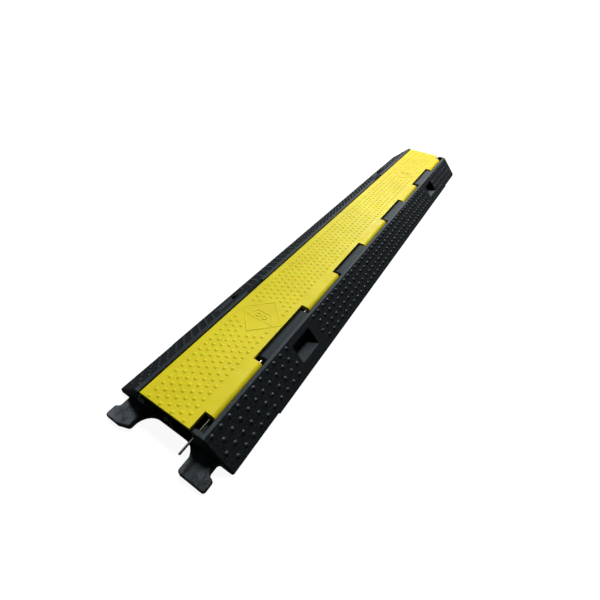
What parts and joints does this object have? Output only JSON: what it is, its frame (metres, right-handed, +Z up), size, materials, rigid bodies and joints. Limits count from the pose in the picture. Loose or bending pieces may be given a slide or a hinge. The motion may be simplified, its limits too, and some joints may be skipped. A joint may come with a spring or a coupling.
{
  "type": "cable protector ramp",
  "caption": "Rubber drive-over cable ramp with long channels between two studded slopes, a hinged lid on a long rod and hooked end lugs.",
  "frame": {"origin": "centre of the base moulding's flat underside", "axes": "+X across the ramp towards the hinge side, +Y along the channels towards the end with the sockets, +Z up"},
  "size_m": [0.2, 1.0365, 0.045],
  "materials": {
    "rubber": "fine-grained moulded black rubber",
    "lid_plastic": "semi-gloss moulded yellow plastic",
    "rod_steel": "bright drawn steel"
  },
  "bodies": {
    "root": {"base": "rubber"},
    "lid": {"lid": "lid_plastic"},
    "rod": {"hinge_rod": "rod_steel"}
  },
  "joints": [
    {"name": "lid_hinge", "type": "hinge", "parent": "root", "child": "lid", "pos_m": [0.046, 0, 0.038], "axis": [0, 1, 0], "range_deg": [0, 95]},
    {"name": "rod_slide", "type": "slide", "parent": "root", "child": "rod", "axis": [0, 1, 0], "range_m": [0, 0.023]}
  ]
}
